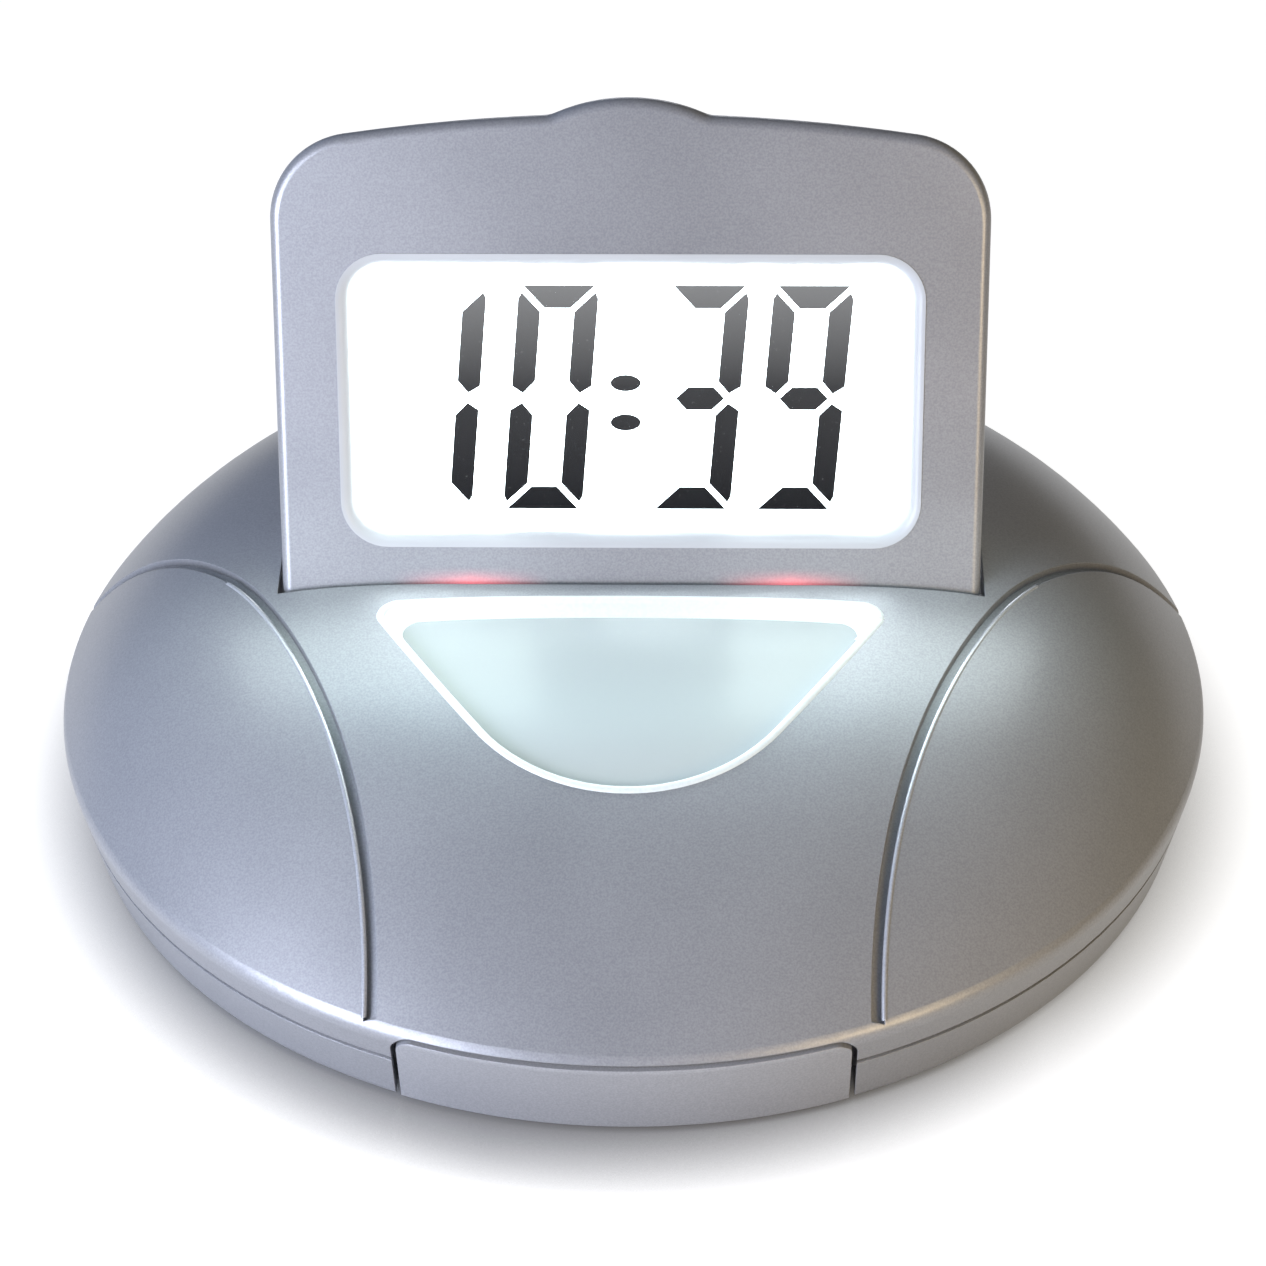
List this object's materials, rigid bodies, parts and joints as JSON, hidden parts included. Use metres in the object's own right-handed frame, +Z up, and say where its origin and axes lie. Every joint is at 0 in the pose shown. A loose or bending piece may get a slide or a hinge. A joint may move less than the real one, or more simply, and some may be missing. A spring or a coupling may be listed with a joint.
{
  "type": "bed shaker alarm clock",
  "caption": "Low oval bedside alarm clock with a lit flip-up display that folds back into a well, a front snooze bar, set keys under the display and a shaker motor inside.",
  "frame": {"origin": "middle of the oval body, on the surface that the feet stand on", "axes": "+X across the front to the viewer's right, +Y from front to rear, +Z up"},
  "size_m": [0.1138, 0.1034, 0.0691],
  "materials": {
    "silver_plastic": "satin",
    "key_rubber": "matt",
    "lens_clear": "polished",
    "lcd_glass": "satin",
    "digit_dark": "matt",
    "guide_white": "frosted",
    "board_green": "solder mask",
    "chip_black": "moulded",
    "socket_white": "moulded",
    "screw_steel": "plated",
    "contact_metal": "nickel plated",
    "cell_jacket": "printed jacket",
    "weight_brass": "turned",
    "sleeve_rubber": "matt",
    "lamp_red": "moulded",
    "cable_grey": "sheath"
  },
  "bodies": {
    "base": {"base_shell": "silver_plastic", "top_shell": "silver_plastic", "main_board": "board_green", "board_screws": "screw_steel", "set_switches": "chip_black", "mode_switch": "contact_metal", "control_chip": "chip_black", "cable_socket": "socket_white", "snooze_board": "board_green", "snooze_switch": "chip_black", "battery_cells": "cell_jacket", "battery_contacts": "contact_metal", "vibration_motor": "contact_metal", "motor_sleeve": "sleeve_rubber", "motor_clip": "screw_steel", "buzzer": "chip_black", "indicator_leds": "lamp_red", "rubber_feet": "sleeve_rubber", "case_screws": "screw_steel", "display_cable": "cable_grey"},
    "display": {"display_bezel": "silver_plastic", "display_back": "silver_plastic", "window_lens": "lens_clear", "lcd_panel": "lcd_glass", "lcd_digits": "digit_dark", "light_guide": "guide_white", "backlight_leds": "socket_white", "lcd_connector": "sleeve_rubber", "display_board": "board_green", "display_socket": "socket_white", "display_screws": "screw_steel", "hinge_pin": "screw_steel", "hinge_tube": "screw_steel", "display_cable_upper": "cable_grey"},
    "snooze": {"snooze_bar": "silver_plastic"},
    "time_key": {"time_button": "key_rubber"},
    "alarm_key": {"alarm_button": "key_rubber"},
    "hour_key": {"hour_button": "key_rubber"},
    "minute_key": {"minute_button": "key_rubber"},
    "slider": {"mode_slider": "chip_black"},
    "door": {"battery_door": "silver_plastic"},
    "rotor": {"motor_shaft": "screw_steel", "eccentric_weight": "weight_brass"}
  },
  "joints": [
    {"name": "display_hinge", "type": "hinge", "parent": "base", "child": "display", "pos_m": [0, -0.0004, 0.0205], "axis": [-1, 0, 0], "range_deg": [0, 74]},
    {"name": "snooze_press", "type": "slide", "parent": "base", "child": "snooze", "axis": [0, 1, 0], "range_m": [0, 0.001], "stiffness_N_per_m": 1500},
    {"name": "time_press", "type": "slide", "parent": "base", "child": "time_key", "axis": [0, -0.1219, -0.9925], "range_m": [0, 0.0005], "stiffness_N_per_m": 2000},
    {"name": "alarm_press", "type": "slide", "parent": "base", "child": "alarm_key", "axis": [0, -0.1219, -0.9925], "range_m": [0, 0.0005], "stiffness_N_per_m": 2000},
    {"name": "hour_press", "type": "slide", "parent": "base", "child": "hour_key", "axis": [0, -0.1219, -0.9925], "range_m": [0, 0.0005], "stiffness_N_per_m": 2000},
    {"name": "minute_press", "type": "slide", "parent": "base", "child": "minute_key", "axis": [0, -0.1219, -0.9925], "range_m": [0, 0.0005], "stiffness_N_per_m": 2000},
    {"name": "mode_slide", "type": "slide", "parent": "base", "child": "slider", "axis": [1, 0, 0], "range_m": [-0.003, 0.003]},
    {"name": "door_hinge", "type": "hinge", "parent": "base", "child": "door", "pos_m": [0, -0.02625, 0.0015], "axis": [-1, 0, 0], "range_deg": [0, 75]},
    {"name": "rotor_spin", "type": "hinge", "parent": "base", "child": "rotor", "pos_m": [-0.0415, 0.013, 0.0082], "axis": [0, 1, 0], "continuous": true}
  ]
}
